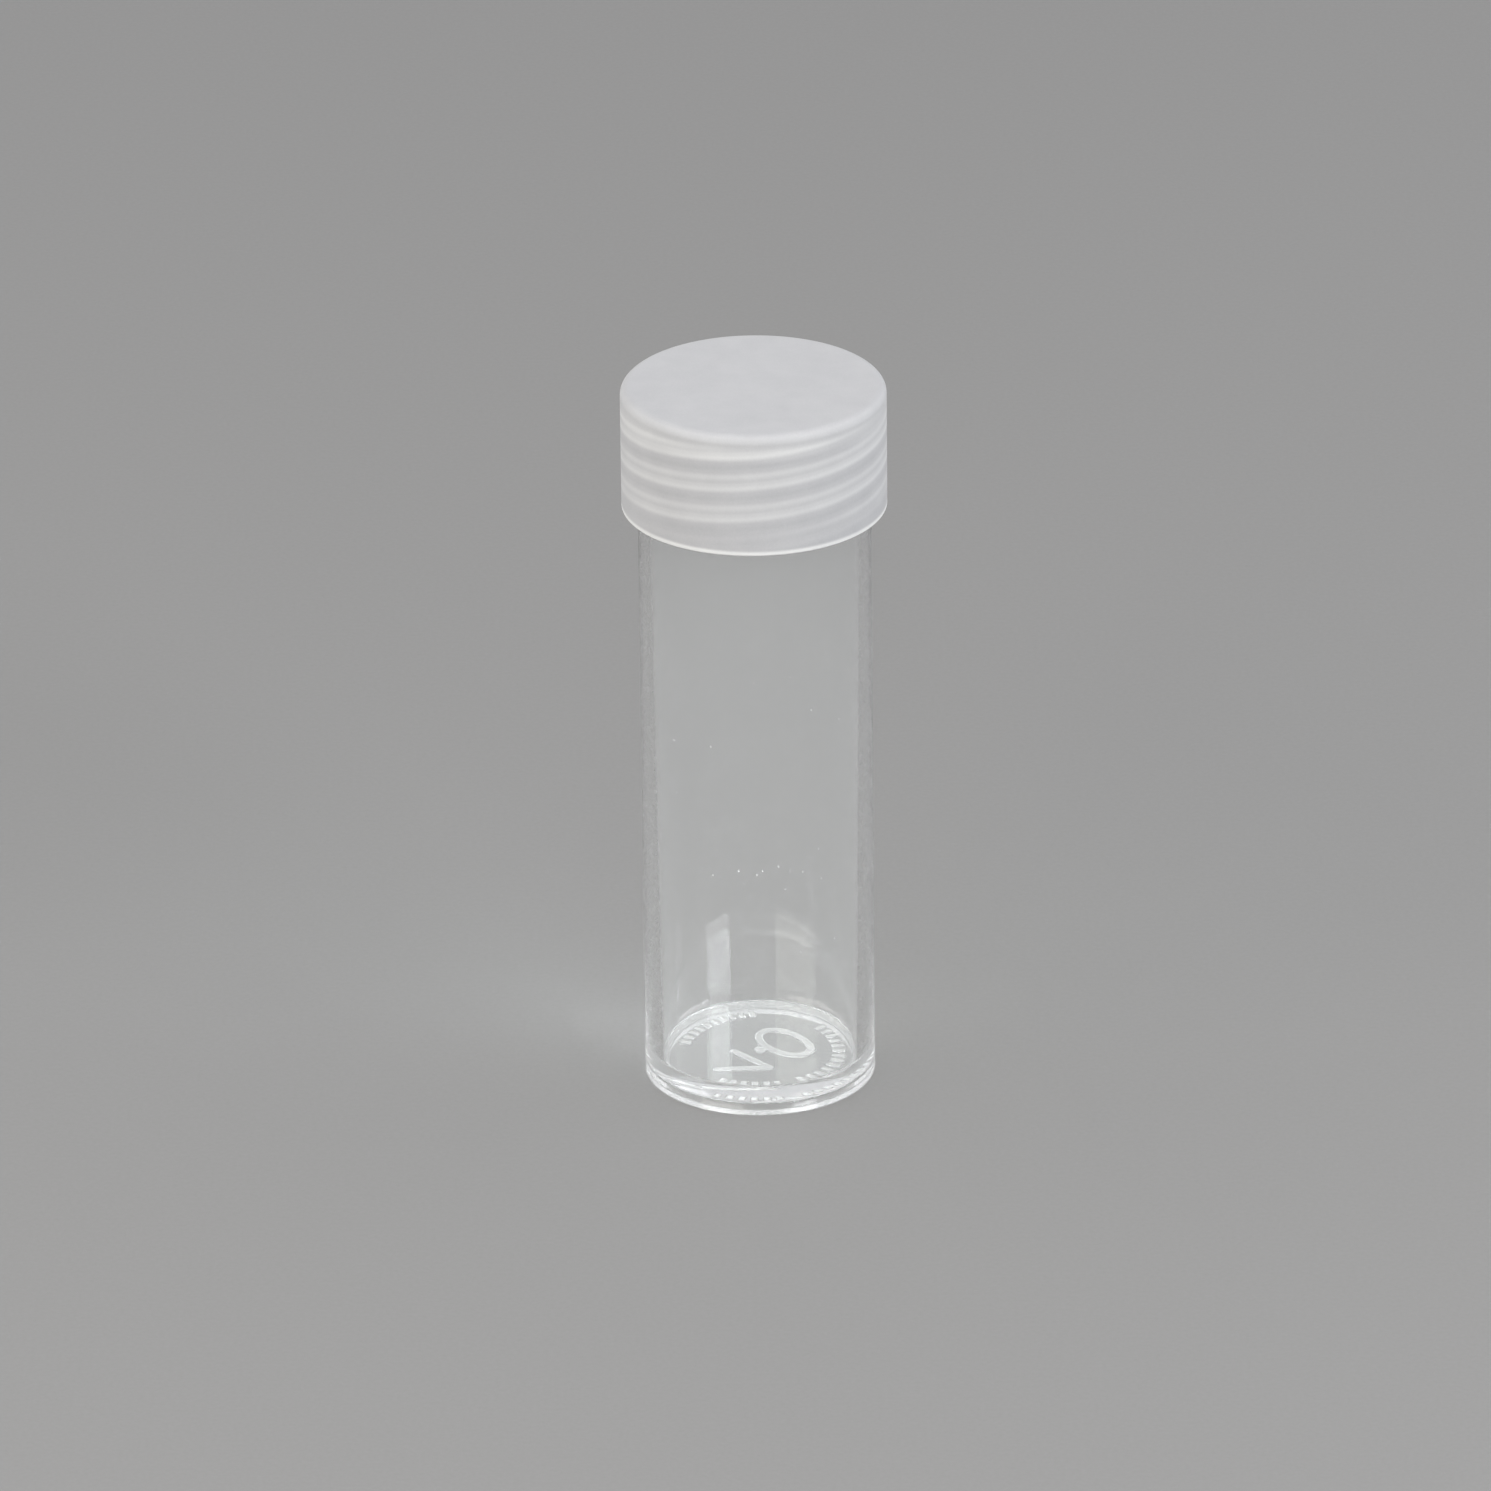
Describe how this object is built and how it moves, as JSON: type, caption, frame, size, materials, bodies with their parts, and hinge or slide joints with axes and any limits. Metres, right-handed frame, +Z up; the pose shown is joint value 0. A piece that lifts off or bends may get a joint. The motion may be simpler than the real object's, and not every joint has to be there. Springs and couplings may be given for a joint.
{
  "type": "specimen tube with screw cap",
  "caption": "Clear flat-bottomed specimen tube closed by a translucent screw cap with a coarse thread inside.",
  "frame": {"origin": "centre of the plane that the foot ring stands on", "axes": "+Z up the tube's axis to the cap, -Y towards the side that the picture shows, +X to the right of it"},
  "size_m": [0.0318, 0.0318, 0.0902],
  "materials": {
    "tube": "clear, polished moulded polystyrene",
    "cap_liner": "soft closed-cell foam",
    "screw_cap": "milky translucent polyethylene, satin"
  },
  "bodies": {
    "tube": {"tube": "tube"},
    "liner": {"cap_liner": "cap_liner"},
    "cap": {"screw_cap": "screw_cap"}
  },
  "joints": [
    {"name": "cap_rise", "type": "slide", "parent": "tube", "child": "liner", "axis": [0, 0, 1], "range_m": [0, 0.016]},
    {"name": "cap_turn", "type": "hinge", "parent": "liner", "child": "cap", "pos_m": [0, 0, 0.08], "axis": [0, 0, 1], "range_deg": [0, 720]}
  ],
  "couplings": [
    {"joint": "cap_rise", "follows": "cap_turn", "m_per_rad": 0.0012732}
  ]
}
